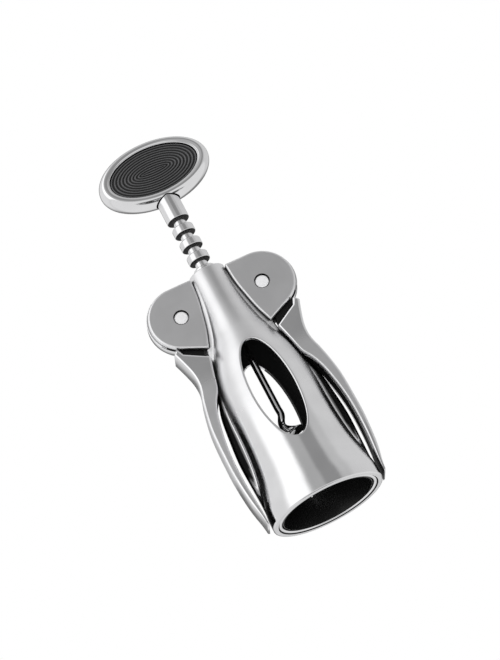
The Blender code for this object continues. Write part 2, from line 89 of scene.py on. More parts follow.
# Bell casting: height and radius as shares of its height and of the mouth's radius
BELL_WALL = 0.0019
BELL_PROFILE_SHARES = (
    (0.000, 1.000), (0.056, 0.994), (0.118, 0.944), (0.194, 0.884), (0.270, 0.847), (0.364, 0.823),
    (0.445, 0.809), (0.525, 0.767), (0.600, 0.698), (0.660, 0.605), (0.704, 0.525), (0.743, 0.461),
    (0.807, 0.395), (0.865, 0.354), (0.920, 0.332), (0.980, 0.322), (1.000, 0.322),
)
WEB_REACH_SHARES = (
    (0.000, 0.920), (0.060, 0.960), (0.100, 0.985), (0.200, 1.000), (0.280, 1.005), (0.370, 0.972),
    (0.460, 0.921), (0.520, 0.842), (0.580, 0.767), (0.640, 0.690), (0.700, 0.640), (0.730, 0.614),
    (0.780, 0.535), (0.840, 0.470), (0.910, 0.405), (0.960, 0.370), (0.985, 0.300), (1.000, 0.290),
)
WEB_HALF_WIDTH_SHARES = ((0.00, 0.115), (0.60, 0.121), (0.70, 0.130), (0.74, 0.172), (1.00, 0.172))
WEB_SQUARENESS = 4.0
WEB_FILLET = 0.0010
RIM_FILLET = 0.0005
LIP_FILLET = 0.0006

# Windows in the front and the back of the bell
WINDOW_HALF_WIDTH = 0.0080
WINDOW_HALF_HEIGHT = 0.0212
WINDOW_HEIGHT = 0.0435
WINDOW_FILLET = 0.0006

# Ears: two pairs of plates, with their inner edge as shares of the bell's height and the mouth's radius
EAR_RADIUS = 0.0122
EAR_HALF_WIDTH = 0.0042
EAR_SLOT_HALF_WIDTH = 0.0023
EAR_BASE_SLOPE = radians(25)
EAR_INNER_SHARES = ((0.985, 0.315), (0.910, 0.340), (0.840, 0.400), (0.780, 0.465), (0.735, 0.535))
EAR_EDGE = 0.0008
SLOT_RADIUS = 0.01411
PIN_CLEARANCE = 0.0004


# Small helpers for shapes

def smooth_table(stations, steps=8):
    """Points of a smooth curve through the stations (Catmull-Rom), one array for each column."""
    rows = np.array([stations[0], *stations, stations[-1]], float)
    points = []
    for a, b, c, d in zip(rows, rows[1:], rows[2:], rows[3:]):
        for t in np.arange(steps) / steps:
            bend = (2 * a - 5 * b + 4 * c - d) * t**2 + (3 * b - a - 3 * c + d) * t**3
            points.append((2 * b + (c - a) * t + bend) / 2)
    points.append(rows[-1])
    return np.array(points).T


def arc(centre, radius, start, end, steps=12):
    angles = (start + (end - start) * step / steps for step in range(steps + 1))
    return [(centre[0] + radius * cos(angle), centre[1] + radius * sin(angle)) for angle in angles]


def smooth_max(a, b, blend):
    near = np.clip(blend - np.abs(a - b), 0, None)
    return np.maximum(a, b) + near**2 / blend / 4


@contextmanager
def edited(mesh):
    """The mesh to work on, which is written back at the end."""
    body = bmesh.new()
    body.from_mesh(mesh)
    yield body
    body.to_mesh(mesh)
    body.free()


def new_object(name, data, material=None):
    item = bpy.data.objects.new(name, data)
    bpy.context.scene.collection.objects.link(item)
    if material:
        data.materials.clear()
        data.materials.append(material)
    return item


def weld(mesh):
    """Join coinciding corners and turn every face outwards."""
    with edited(mesh) as body:
        bmesh.ops.remove_doubles(body, verts=body.verts, dist=WELD_REACH)
        bmesh.ops.recalc_face_normals(body, faces=body.faces)


def built_mesh(name, points, faces, shades=None):
    """A mesh of points and faces, with how much painted shade each point gets where shades are given."""
    mesh = bpy.data.meshes.new(name)
    mesh.from_pydata(points, [], faces)
    if shades:
        mesh.attributes.new("shade", "FLOAT", "POINT").data.foreach_set("value", shades)
    weld(mesh)
    return mesh


def smooth_but_creased(mesh, degrees=CREASE_ANGLE):
    mesh.shade_smooth()
    mesh.set_sharp_from_angle(angle=radians(degrees))


def grid_faces(rows, columns, start=0, closed=False):
    """Quads of a grid of points that is listed row by row."""
    faces = []
    for i in range(start, start + (rows - 1) * columns, columns):
        for j in range(columns if closed else columns - 1):
            k = (j + 1) % columns
            faces.append((i + j, i + k, i + columns + k, i + columns + j))
    return faces


def apply_modifiers(item):
    bpy.context.view_layer.update()
    evaluated = item.evaluated_get(bpy.context.evaluated_depsgraph_get())
    mesh = bpy.data.meshes.new_from_object(evaluated)
    item.modifiers.clear()
    item.data = mesh


def combine(item, other, operation):
    """Join or cut with another object, which is used up."""
    step = item.modifiers.new(other.name, "BOOLEAN")
    step.object = other
    step.operation = operation
    step.solver = "MANIFOLD"
    apply_modifiers(item)
    bpy.data.objects.remove(other, do_unlink=True)


def turned(name, profile, material=None, sides=128):
    """A solid turned about Z from a closed outline of (radius, height) pairs."""
    turn = np.arange(sides) * 2 * pi / sides
    points = [(r * cos(t), r * sin(t), z) for r, z in profile for t in turn]
    faces = grid_faces(len(profile), sides, closed=True)
    mesh = built_mesh(name, points, faces)
    smooth_but_creased(mesh)
    return new_object(name, mesh, material)


def plate(name, outline, half_width, side=1, edge=0.0, segments=3, edge_share=None):
    """A flat outline of (x, z) points on the left (-1) or right (1), thick along Y, with rounded edges.

    Where edge_share is given, it is the share of the edge's width at a height.
    """
    mesh = bpy.data.meshes.new(name)
    with edited(mesh) as body:
        face = body.faces.new([body.verts.new((side * x, -half_width, z)) for x, z in outline])
        made = bmesh.ops.extrude_face_region(body, geom=[face])["geom"]
        moved = [part for part in made if isinstance(part, bmesh.types.BMVert)]
        bmesh.ops.translate(body, verts=moved, vec=(0, 2 * half_width, 0))
        bmesh.ops.recalc_face_normals(body, faces=body.faces)
    item = new_object(name, mesh)
    if edge_share:
        weights = mesh.attributes.new("bevel_weight_edge", "FLOAT", "EDGE").data
        for line, weight in zip(mesh.edges, weights):
            a, b = (mesh.vertices[corner].co for corner in line.vertices)
            weight.value = edge_share((a.z + b.z) / 2) if a.y == b.y else 0.0
    if edge:
        rounding = item.modifiers.new("edge", "BEVEL")
        rounding.width = edge
        rounding.segments = segments
        rounding.limit_method = "WEIGHT" if edge_share else "ANGLE"
        rounding.angle_limit = radians(ROUNDED_ANGLE)
        rounding.use_clamp_overlap = False
        apply_modifiers(item)
    return item


def pin_hole(side, radius, half_length, steps=96):
    """A plain cylinder about a pin's axis, for cuts."""
    return plate("hole", arc(PIN, radius, 0, 2 * pi, steps)[:-1], half_length, side)


def refill(body, faces):
    """Fill the outlines of flat faces anew, where a cut has left faces of many corners."""
    if any(len(face.verts) > 4 for face in faces):
        normal = faces[0].normal.copy()
        members = set(faces)
        edges = [edge for face in faces for edge in face.edges]
        border = [edge for edge in edges if len(members.intersection(edge.link_faces)) == 1]
        bmesh.ops.delete(body, geom=faces, context="FACES_KEEP_BOUNDARY")
        filled = bmesh.ops.triangle_fill(body, use_beauty=True, edges=border, normal=normal)["geom"]
        for face in filled:
            if isinstance(face, bmesh.types.BMFace):
                face.smooth = True
                face.normal_update()
                if face.normal.dot(normal) < 0:
                    face.normal_flip()


def clean(item, planes=()):
    """Mend the mesh after cuts and joins. Planes are (axis, distance) pairs whose faces stay flat."""
    weld(item.data)
    smooth_but_creased(item.data)

    def plane_of(face):
        centre = face.calc_center_median()
        for axis, distance in planes:
            square = abs(face.normal[axis]) > PLANE_COSINE
            if square and abs(abs(centre[axis]) - distance) < PLANE_REACH:
                return axis, distance
        return None

    with edited(item.data) as body:
        for plane, side, facing in product(planes, (-1, 1), (-1, 1)):
            axis = plane[0]
            refill(body, [face for face in body.faces if plane_of(face) == plane
                          and face.calc_center_median()[axis] * side > 0
                          and face.normal[axis] * facing > 0])
        for edge in body.edges:
            if len({plane_of(face) for face in edge.link_faces}) > 1:
                edge.smooth = False


def from_pin(place):
    """Distance of a place from the axis of the nearer pin."""
    return Vector((abs(place.x) - PIN_OFFSET, 0, place.z - PIN_HEIGHT)).length


def from_axis(place):
    """The way from the bell's axis to a place."""
    return Vector((place.x, place.y, 0))


def give(item, bright, shade_paint=None, gets_painted_shade=None):
    """The bright finish, and a near-black finish of painted shade on the faces that the given test picks by
    centre and direction.
    """
    item.data.materials.clear()
    item.data.materials.append(bright)
    if shade_paint:
        item.data.materials.append(shade_paint)
        for face in item.data.polygons:
            face.material_index = 1 if gets_painted_shade(face.center, face.normal) else 0


# Node trees

class Tree:
    """Adds nodes to a node tree. Inputs are values or the outputs of other nodes."""

    def __init__(self, tree):
        self.tree = tree

    def feed(self, node, inputs):
        for key, value in inputs.items():
            socket = node.inputs[key]
            if isinstance(value, bpy.types.NodeSocket):
                self.tree.links.new(value, socket)
            else:
                socket.default_value = value

    def node(self, kind, inputs=None, **settings):
        made = self.tree.nodes.new(kind)
        for name, value in settings.items():
            setattr(made, name, value)
        self.feed(made, inputs or {})
        return made

    def out(self, kind, inputs=None, **settings):
        """The first output of a new node."""
        return self.node(kind, inputs, **settings).outputs[0]

    def math(self, operation, a, b=0.0):
        return self.out("ShaderNodeMath", {0: a, 1: b}, operation=operation)

    def times(self, value, *factors):
        for factor in factors:
            value = self.math("MULTIPLY", value, factor)
        return value

    def split(self, vector):
        """The three parts of a vector."""
        return self.node("ShaderNodeSeparateXYZ", {0: vector}).outputs

    def ramp(self, value, low, high, start=0.0, end=1.0, kind="SMOOTHSTEP"):
        inputs = {"Value": value, "From Min": low, "From Max": high, "To Min": start, "To Max": end}
        return self.node("ShaderNodeMapRange", inputs, interpolation_type=kind).outputs["Result"]

    def mix(self, share, a, b):
        return self.out("ShaderNodeMix", {"Factor": share, 2: a, 3: b}, data_type="FLOAT")

    def blend(self, share, a, b):
        """Mix of two colours, each with three parts or another node's output."""
        a, b = ((*colour, 1) if isinstance(colour, tuple) else colour for colour in (a, b))
        return self.node("ShaderNodeMix", {"Factor": share, 6: a, 7: b}, data_type="RGBA").outputs[2]

    def band(self, value, low, high, soft):
        """1 between low and high, falling to 0 over a soft edge on each side."""
        rise = self.ramp(value, low - soft, low + soft)
        fall = self.ramp(value, high - soft, high + soft, 1.0, 0.0)
        return self.times(rise, fall)


# Bell casting

PROFILE_CURVE = smooth_table(BELL_PROFILE_SHARES)
REACH_CURVE = smooth_table(WEB_REACH_SHARES)
HALF_WIDTH_CURVE = smooth_table(WEB_HALF_WIDTH_SHARES)
BORE_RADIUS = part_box("neck_bush")[1][0] + SEAT_GAP
SEAT_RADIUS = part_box("mouth_ring")[1][0] + SEAT_GAP
SEAT_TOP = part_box("mouth_ring")[1][2] + SEAT_GAP
LINER_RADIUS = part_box("bell_liner")[1][0]
LINER_SEAT_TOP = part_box("bell_liner")[1][2] + SEAT_GAP
LINER_TAPER = 0.0009
BELLY_FOOT = 0.0214

# Grid of the casting: heights of the patch round a window, and columns, rows and rings of its parts
PATCH_FOOT = 0.0140
PATCH_TOP = 0.0685
COLUMNS = 48
SIDE_COLUMNS = 36
RINGS = 50
UPPER_ROWS = 56
LOWER_ROWS = 22
INNER_RINGS = 14
BORE_ROWS = 20
LAST_CELL = 1.000001
INNER_ROUND = ((0.00036, 0.0), (0.00010, 0.00004), (0.0, 0.00015))

# Painted shade in the hollows between the bell, its webs and its ears, where a dark, rough finish stands in
# for their shade
RECESS_START = 0.00035
RECESS_NOSE = 0.0008
RECESS_SOFTNESS = 0.0005
NOSE_BRIGHT_TOP = 0.0150
NOSE_SOFTNESS = 0.0060
EAR_FOOT = 0.0570
EAR_HOLLOW_SHADE = 0.12
EAR_HOLLOW_SOFTNESS = 0.0040
SLOPE_MATCH = 0.02
INWARD = -0.5


def size_at(curve, height):
    """A curve of shares at a height, in metres."""
    return np.interp(np.asarray(height) / BELL_HEIGHT, *curve) * MOUTH_RADIUS


def cavity_radius(height):
    return np.maximum(size_at(PROFILE_CURVE, height) - BELL_WALL, BORE_RADIUS)


def section_table(rows=241, columns=301, samples=2400, turn_share=0.5):
    """Quarter sections of the bell with its web, from the front line to the web's nose.

    Columns crowd where the section turns, so the fillet and the nose of the web stay round.
    """
    heights = np.linspace(0, BELL_HEIGHT, rows)
    turn = np.linspace(0, pi / 2, samples)
    ring, reach, half = (size_at(curve, heights)[:, None]
                         for curve in (PROFILE_CURVE, REACH_CURVE, HALF_WIDTH_CURVE))
    squared = (np.sin(turn) / reach) ** WEB_SQUARENESS + (np.cos(turn) / half) ** WEB_SQUARENESS
    radius = smooth_max(ring, squared ** (-1 / WEB_SQUARENESS), WEB_FILLET)
    x, y = radius * np.sin(turn), -radius * np.cos(turn)
    step_x, step_y = np.diff(x), np.diff(y)
    length = np.hypot(step_x, step_y)
    heading = np.unwrap(np.arctan2(step_y, step_x))
    bend = np.abs(np.diff(heading, prepend=heading[:, :1]))
    table = np.zeros((rows, columns, 2))
    for i in range(rows):
        weight = (1 - turn_share) * length[i] / length[i].sum() + turn_share * bend[i] / bend[i].sum()
        along = np.concatenate(([0], np.cumsum(weight)))
        wanted = np.linspace(0, along[-1], columns)
        table[i, :, 0] = np.interp(wanted, along, x[i])
        table[i, :, 1] = np.interp(wanted, along, y[i])
    return table


SECTIONS = section_table()


def outer_points(share, height, inset=0.0):
    """Points of the casting's outer side at shares of the quarter section and at heights."""
    share, height, inset = np.broadcast_arrays(share, height, np.asarray(inset, float))
    rows, columns = SECTIONS.shape[:2]
    row = np.clip(height / BELL_HEIGHT * (rows - 1), 0, rows - LAST_CELL)
    column = np.clip(share * (columns - 1), 0, columns - LAST_CELL)
    i, j = row.astype(int), column.astype(int)
    f, g = (row - i)[..., None], (column - j)[..., None]
    flat = ((SECTIONS[i, j] * (1 - g) + SECTIONS[i, j + 1] * g) * (1 - f)
            + (SECTIONS[i + 1, j] * (1 - g) + SECTIONS[i + 1, j + 1] * g) * f)
    flat = flat * (1 - inset / np.linalg.norm(flat, axis=-1))[..., None]
    return np.concatenate((flat, height[..., None]), axis=-1)


def inner_points(share, height, radius=None):
    radius = cavity_radius(height) if radius is None else radius
    turn = np.asarray(share) * pi / 2
    x, y = radius * np.sin(turn), -radius * np.cos(turn)
    return np.stack(np.broadcast_arrays(x, y, height), axis=-1)


def window_edge(grow, columns):
    """The window's right half seen from the front, from its top to its foot, as (x, z)."""
    angle = np.linspace(0, pi, columns)
    return ((WINDOW_HALF_WIDTH + grow) * np.sin(angle),
            WINDOW_HEIGHT + (WINDOW_HALF_HEIGHT + grow) * np.cos(angle))


def share_on_outer(x, height):
    """Shares of the quarter section at which the outer side has the given x at the given heights."""
    rows, columns = SECTIONS.shape[:2]
    shares = np.linspace(0, 1, columns)
    found = []
    for place, level in zip(x, height):
        row = SECTIONS[int(level / BELL_HEIGHT * (rows - 1))]
        nearest = int(np.argmax(row[:, 0] >= place)) + 2
        found.append(np.interp(place, row[:nearest, 0], shares[:nearest]))
    return np.array(found)


def round_window(edge_share, edge_height, foot, top, rings):
    """Shares and heights from the window's edge out to the borders of its patch."""
    across = np.linspace(0, 1, COLUMNS)
    side = np.linspace(top, foot, SIDE_COLUMNS + 2)[1:-1]
    border_share = np.concatenate((across, np.ones(SIDE_COLUMNS), across[::-1]))
    border_height = np.concatenate((np.full(COLUMNS, top), side, np.full(COLUMNS, foot)))
    t = np.linspace(0, 1, rings)[:, None]
    share = edge_share + (border_share - edge_share) * t
    return share, edge_height + (border_height - edge_height) * t


def past(value, start, softness):
    """0 up to the start, and 1 from a soft edge past it."""
    return np.clip((value - start) / softness, 0, 1)


def painted_recess_shade(points):
    """How much painted shade a point of the outer side gets in the hollow between the bell and the web or the
    ear.
    """
    x, y, height = np.moveaxis(points, -1, 0)
    off_bell = past(np.hypot(x, y) - size_at(PROFILE_CURVE, height), RECESS_START, RECESS_SOFTNESS)
    off_nose = np.maximum(past(size_at(REACH_CURVE, height) - np.abs(x), RECESS_NOSE, RECESS_SOFTNESS),
                          past(height, NOSE_BRIGHT_TOP, NOSE_SOFTNESS))
    under_ear = past(height, EAR_FOOT, EAR_HOLLOW_SOFTNESS)
    return off_bell * (off_nose * (1 - under_ear) + EAR_HOLLOW_SHADE * under_ear)


def casting_quarter():
    """Grids of points of the casting's right front quarter, each with how much painted shade it gets."""
    across = np.linspace(0, 1, COLUMNS)
    total = 2 * COLUMNS + SIDE_COLUMNS
    quarter_turn = np.linspace(0, pi / 2, 5)[:, None]

    def end_round(end, fillet):
        points = outer_points(across, abs(end - fillet), fillet * (1 - np.cos(quarter_turn)))
        points[..., 2] = abs(end - fillet * (1 - np.sin(quarter_turn)))
        return points

    # Outer side: round the window, above it, below it, and the rounds at the lip and the rim
    x, z = window_edge(WINDOW_FILLET, total)
    share, height = round_window(share_on_outer(x, z), z, PATCH_FOOT, PATCH_TOP, RINGS)
    upper = np.linspace(PATCH_TOP, BELL_HEIGHT - LIP_FILLET, UPPER_ROWS)[:, None]
    lower = np.linspace(PATCH_FOOT, RIM_FILLET, LOWER_ROWS)[:, None]
    lip, rim = end_round(BELL_HEIGHT, LIP_FILLET), end_round(0, RIM_FILLET)
    outside = [outer_points(share, height), outer_points(across, upper), lip,
               outer_points(across, lower), rim]
    # Window's edge: an outer round, the wall and an inner round
    wall = []
    for turn in quarter_turn[:, 0]:
        x, z = window_edge(WINDOW_FILLET * (1 - sin(turn)), total)
        wall.append(outer_points(share_on_outer(x, z), z, WINDOW_FILLET * (1 - cos(turn))))
    for depth, grow in INNER_ROUND:
        x, z = window_edge(grow, total)
        angle = np.arcsin(np.clip(x / cavity_radius(z), 0, 1))
        wall.append(inner_points(angle / (pi / 2), z, cavity_radius(z) + depth))
    # Inside: round the window, up to the neck's bore and down to the seats
    share, height = round_window(angle / (pi / 2), z, BELLY_FOOT, PATCH_TOP, INNER_RINGS)
    bore = np.linspace(PATCH_TOP, BELL_HEIGHT, BORE_ROWS)[:, None]
    liner_seat = LINER_RADIUS + SEAT_GAP
    seats = [
        (cavity_radius(BELLY_FOOT), BELLY_FOOT), (liner_seat - LINER_TAPER, LINER_SEAT_TOP),
        (liner_seat, SEAT_TOP), (SEAT_RADIUS, SEAT_TOP), (SEAT_RADIUS, 0.0),
    ]
    radii, heights = (np.array(column)[:, None] for column in zip(*seats))
    inside = [inner_points(share, height), inner_points(across, bore), inner_points(across, heights, radii)]
    # Flat ends: the neck's lip to its bore, and the rim to the ring's seat
    ends = [np.array([lip[-1], inner_points(across, np.full(COLUMNS, BELL_HEIGHT))]),
            np.array([rim[-1], inner_points(across, np.zeros(COLUMNS), SEAT_RADIUS)])]
    shaded = [(grid, painted_recess_shade(grid)) for grid in outside]
    return shaded + [(grid, np.zeros(grid.shape[:2])) for grid in (np.array(wall), *inside, *ends)]


def make_casting_shell():
    """The bell with its webs and windows: one quarter, mirrored to the left and to the back."""
    points, faces, shades = [], [], []
    grids = casting_quarter()
    for mirror in ((1, 1), (-1, 1), (-1, -1), (1, -1)):
        for grid, shade in grids:
            rows, columns = grid.shape[:2]
            made = grid_faces(rows, columns, len(points))
            points.extend((grid.reshape(-1, 3) * (*mirror, 1)).tolist())
            shades.extend(shade.ravel().tolist())
            faces.extend(face[::-1] if mirror[0] * mirror[1] < 0 else face for face in made)
    return new_object("bell_casting", built_mesh("bell_casting", points, faces, shades))


def ear_outline():
    """Ear plate: round about the pin, level on top, sloping down to the web below."""
    start = EAR_BASE_SLOPE - pi / 2
    inner = smooth_table(EAR_INNER_SHARES, 6)
    top = (inner[1][0] * MOUTH_RADIUS, PIN_HEIGHT + EAR_RADIUS)
    inner = [(share * MOUTH_RADIUS, height * BELL_HEIGHT) for height, share in inner.T]
    inner = [point for point in inner if point[1] < top[1] - 2 * EAR_EDGE]
    tangent = (PIN_OFFSET + EAR_RADIUS * cos(start), PIN_HEIGHT + EAR_RADIUS * sin(start))
    corner = inner[-1][0] + EAR_EDGE
    base = tangent[1] - (tangent[0] - corner) * tan(EAR_BASE_SLOPE)
    return [*inner, (corner, base), *arc(PIN, EAR_RADIUS, start, pi / 2, steps=48), top]


def is_hollow(place, direction):
    """Where the casting gets painted shade: its inside, slots and pin holes, and the ears' undersides."""
    distance = from_pin(place)
    in_hub_slot = abs(place.y) < EAR_SLOT_HALF_WIDTH + SEAT_GAP / 2 and distance < SLOT_RADIUS + SEAT_GAP
    edge_on = abs(direction.y) < ACROSS
    underside = edge_on and abs(direction.z + cos(EAR_BASE_SLOPE)) < SLOPE_MATCH
    in_hole = edge_on and distance < PIN_RADIUS + 2 * PIN_CLEARANCE
    inward = direction.dot(from_axis(place).normalized()) < INWARD
    return in_hub_slot or in_hole or inward or (underside and distance > EAR_RADIUS - EAR_EDGE)


def make_bell_casting(material, shade_paint):
    casting = make_casting_shell()
    for side, _ in SIDES:
        combine(casting, plate("ear", ear_outline(), EAR_HALF_WIDTH, side, EAR_EDGE), "UNION")
    for side, _ in SIDES:
        for radius, half_length in ((SLOT_RADIUS, EAR_SLOT_HALF_WIDTH),
                                    (PIN_RADIUS + PIN_CLEARANCE, EAR_HALF_WIDTH + OVERRUN)):
            combine(casting, pin_hole(side, radius, half_length), "DIFFERENCE")
    clean(casting, ((1, EAR_HALF_WIDTH), (1, EAR_SLOT_HALF_WIDTH), (2, 0.0), (2, BELL_HEIGHT)))
    give(casting, material, shade_paint, is_hollow)
    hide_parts("bell_body")
    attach(casting, "bell")


# Wings: their edges as shares of the length, out from the line between mouth and pin, and up from the tip
WING_LENGTH = 0.0853
WING_HALF_WIDTH = 0.0056
WING_CHANNEL_HALF_WIDTH = 0.0032
WING_SPINE = 0.0020
WING_TIP_WALL = 0.0030
WING_EDGE = 0.0008
WING_TIP_TAPER = 0.0090
WING_TIP_EDGE_SHARE = 0.15
WING_OUTER_SHARES = (
    (0.094, 0.849), (0.074, 0.797), (0.056, 0.742), (0.049, 0.695), (0.052, 0.655), (0.063, 0.605),
    (0.074, 0.524), (0.078, 0.453), (0.074, 0.336), (0.067, 0.242), (0.049, 0.125), (0.027, 0.042),
    (0.019, 0.004),
)
WING_INNER_SHARES = (
    (0.011, 0.000), (0.015, 0.050), (0.020, 0.100), (0.033, 0.196), (0.041, 0.312), (0.039, 0.406),
    (0.026, 0.512), (0.006, 0.582), (-0.019, 0.632), (-0.032, 0.700), (-0.046, 0.772),
)
SHOULDER_GAP = 0.0011
SHOULDER_DROP = 0.0026
SHOULDER_SLOPE = radians(30)
SHOULDER_START = radians(-56)
SHOULDER_END = radians(-60)
SHOULDER_STEPS = 6
NECK_INSET = 0.0004
NECK_DEPTH = 0.0061
NECK_OUTER_DEPTH = 0.0041
NECK_SPREAD_START = radians(-124)
NECK_SPREAD_END = radians(-97)
NECK_SPREAD_DEPTH = 0.0185
CHANNEL_TOP_STATION = 0.700
WING_TOP_DEPTH = 2.5 * SHOULDER_DROP

# Hub and teeth: the rack's pitch on the pitch circle
RACK_PITCH = 0.0062
RACK_GAP_HEIGHT = 0.084975
GEAR_PITCH_RADIUS = 0.0130
TOOTH_TIP_RADIUS = 0.01275
TOOTH_ROOT_RADIUS = 0.01179
TOOTH_ROOT_HALF_SHARE = 0.38
TOOTH_TIP_HALF_SHARE = 0.20
HUB_RADIUS = 0.0128 - HAIR
HUB_HALF_WIDTH = 0.0020
HUB_EDGE = 0.0002
HUB_BACK_STEPS = 60
HUB_TOOTHLESS_LOW = radians(-48)
HUB_TOOTHLESS_HIGH = radians(124)


def wing_point(out, up):
    line = MOUTH_RADIUS + (PIN_OFFSET - MOUTH_RADIUS) * up
    return (line + out * WING_LENGTH, PIN_HEIGHT - WING_LENGTH + up * WING_LENGTH)


def shoulder_line():
    """The wing's top edge: round under the ear, then a line that falls towards the bell."""
    top = arc(PIN, EAR_RADIUS + SHOULDER_GAP, SHOULDER_START, SHOULDER_END, SHOULDER_STEPS)
    distance = EAR_RADIUS + SHOULDER_DROP
    for x in (top[-1][0] - SHOULDER_GAP, wing_point(*WING_INNER_SHARES[-1])[0]):
        drop = (distance - (x - PIN_OFFSET) * sin(SHOULDER_SLOPE)) / cos(SHOULDER_SLOPE)
        top.append((x, PIN_HEIGHT - drop))
    return top


def wing_edge(shares, steps=10):
    return [wing_point(*pair) for pair in smooth_table(shares, steps).T]


def tip_edge_share(height):
    """The rounded edge narrows with the wing towards its tip."""
    return min(1.0, max(WING_TIP_EDGE_SHARE, (height - PIN_HEIGHT + WING_LENGTH) / WING_TIP_TAPER))


def wing_outline():
    shoulder = shoulder_line()
    inner = [point for point in wing_edge(WING_INNER_SHARES) if point[1] < shoulder[-1][1]]
    return shoulder[::-1] + wing_edge(WING_OUTER_SHARES) + inner


def neck_outline():
    """The narrow neck that joins the hub to the wing between the ear plates."""
    shoulder = shoulder_line()
    left = PIN_OFFSET + NECK_INSET
    middle, corner = shoulder[SHOULDER_STEPS // 3], shoulder[SHOULDER_STEPS + 1]
    spread = arc(PIN, SLOT_RADIUS - SEAT_GAP, NECK_SPREAD_START, NECK_SPREAD_END, 8)
    return [(left, PIN_HEIGHT - NECK_DEPTH), *spread, (spread[-1][0], PIN_HEIGHT - NECK_SPREAD_DEPTH),
            (left, PIN_HEIGHT - NECK_SPREAD_DEPTH), (left, corner[1] - NECK_DEPTH),
            (corner[0], corner[1] - NECK_OUTER_DEPTH), middle,
            (PIN_OFFSET + NECK_DEPTH, PIN_HEIGHT - NECK_DEPTH)]


def gear_outline():
    """The hub's outline, with teeth towards the rack. Angles run up from the rack's direction."""
    pitch_angle = RACK_PITCH / GEAR_PITCH_RADIUS
    nearest = (RACK_GAP_HEIGHT - PIN_HEIGHT) / GEAR_PITCH_RADIUS
    root = RACK_PITCH * TOOTH_ROOT_HALF_SHARE / 2 / TOOTH_ROOT_RADIUS
    tip = RACK_PITCH * TOOTH_TIP_HALF_SHARE / 2 / TOOTH_TIP_RADIUS
    lowest = ceil((HUB_TOOTHLESS_LOW + root - nearest) / pitch_angle)
    highest = floor((HUB_TOOTHLESS_HIGH - root - nearest) / pitch_angle)
    polar = [(HUB_TOOTHLESS_LOW, HUB_RADIUS), (HUB_TOOTHLESS_LOW, TOOTH_ROOT_RADIUS)]
    for tooth in range(lowest, highest + 1):
        middle = nearest + tooth * pitch_angle
        polar += [(middle - root, TOOTH_ROOT_RADIUS), (middle - tip, TOOTH_TIP_RADIUS),
                  (middle + tip, TOOTH_TIP_RADIUS), (middle + root, TOOTH_ROOT_RADIUS)]
    polar += [(HUB_TOOTHLESS_HIGH, TOOTH_ROOT_RADIUS), (HUB_TOOTHLESS_HIGH, HUB_RADIUS)]
    back = np.linspace(HUB_TOOTHLESS_HIGH, 2 * pi + HUB_TOOTHLESS_LOW, HUB_BACK_STEPS)[1:-1]
    polar += [(angle, HUB_RADIUS) for angle in back]
    return [(PIN_OFFSET - r * cos(a), PIN_HEIGHT + r * sin(a)) for a, r in polar]


def channel_outline():
    """What is cut from the wing's inner side, so that it closes over the web."""
    tip = PIN_HEIGHT - WING_LENGTH + WING_TIP_WALL
    top = shoulder_line()[-1][1] + OVERRUN
    spine = [(x - WING_SPINE, z) for x, z in wing_edge(WING_OUTER_SHARES) if tip < z < top - EAR_RADIUS]
    web_top = (dict(WEB_REACH_SHARES)[CHANNEL_TOP_STATION] * MOUTH_RADIUS + SHOULDER_GAP, top)
    return [(BORE_RADIUS, top), web_top, *spine, (spine[-1][0], tip), (BORE_RADIUS, tip)]


def in_channel_or_neck(place, direction):
    """What of a wing gets painted shade: its channel, its neck between the ears and its top edge under them.
    """
    if abs(place.y) < WING_CHANNEL_HALF_WIDTH + SEAT_GAP / 2 and place.z < PIN_HEIGHT - NECK_DEPTH:
        return abs(direction.y) > FACING or direction.x * place.x < 0
    return direction.z > LEVEL and from_pin(place) < EAR_RADIUS + WING_TOP_DEPTH


def make_wing(side, word, material, shade_paint):
    wing = plate(word + "_wing", wing_outline(), WING_HALF_WIDTH, side, WING_EDGE, edge_share=tip_edge_share)
    combine(wing, plate("channel", channel_outline(), WING_CHANNEL_HALF_WIDTH, side), "DIFFERENCE")
    for outline in (neck_outline(), gear_outline()):
        combine(wing, plate("hub", outline, HUB_HALF_WIDTH, side, HUB_EDGE, segments=2), "UNION")
    combine(wing, pin_hole(side, PIN_RADIUS + PIN_CLEARANCE, EAR_HALF_WIDTH), "DIFFERENCE")
    clean(wing, ((1, WING_HALF_WIDTH), (1, WING_CHANNEL_HALF_WIDTH), (1, HUB_HALF_WIDTH)))
    give(wing, material, shade_paint, in_channel_or_neck)
    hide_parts(word + "_lever")
    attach(wing, word + "_wing")


# Handle: an oval rim round two ribbed pads
HANDLE_X, _, HANDLE_HEIGHT = box_centre("handle_frame")
HANDLE_HALF_LENGTH, HANDLE_HALF_THICKNESS, HANDLE_HALF_HEIGHT = box_half("handle_frame")
PAD_HALF_LENGTH, PAD_HALF_THICKNESS, PAD_HALF_HEIGHT = box_half("handle_inlay_front")
PAD_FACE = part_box("handle_inlay_back")[1][1]
COLLAR_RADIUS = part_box("rack_rod")[1][0]
COLLAR_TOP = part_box("rack_rod")[1][2]
RIM_CROWN_SHARE = 0.58
RIM_SQUARENESS = 2.0
SOCKET_GAP = 0.0005
RIM_INNER_DROP = 0.0005
POCKET_EDGE = 0.0003
RIBS = 9.85
RIB_DEPTH = 0.00050
PAD_EDGE_SHARE = 0.975
PAD_CORE_SHARE = 0.24
PAD_RINGS = ceil(RIBS) * 10 + 8
PAD_SIDES = 144
PAD_CREASE = 50
HANDLE_SIDES = 160
RIM_STEPS = 15
SLOPE_STEPS = 9
POCKET_ROUND_START = 0.3


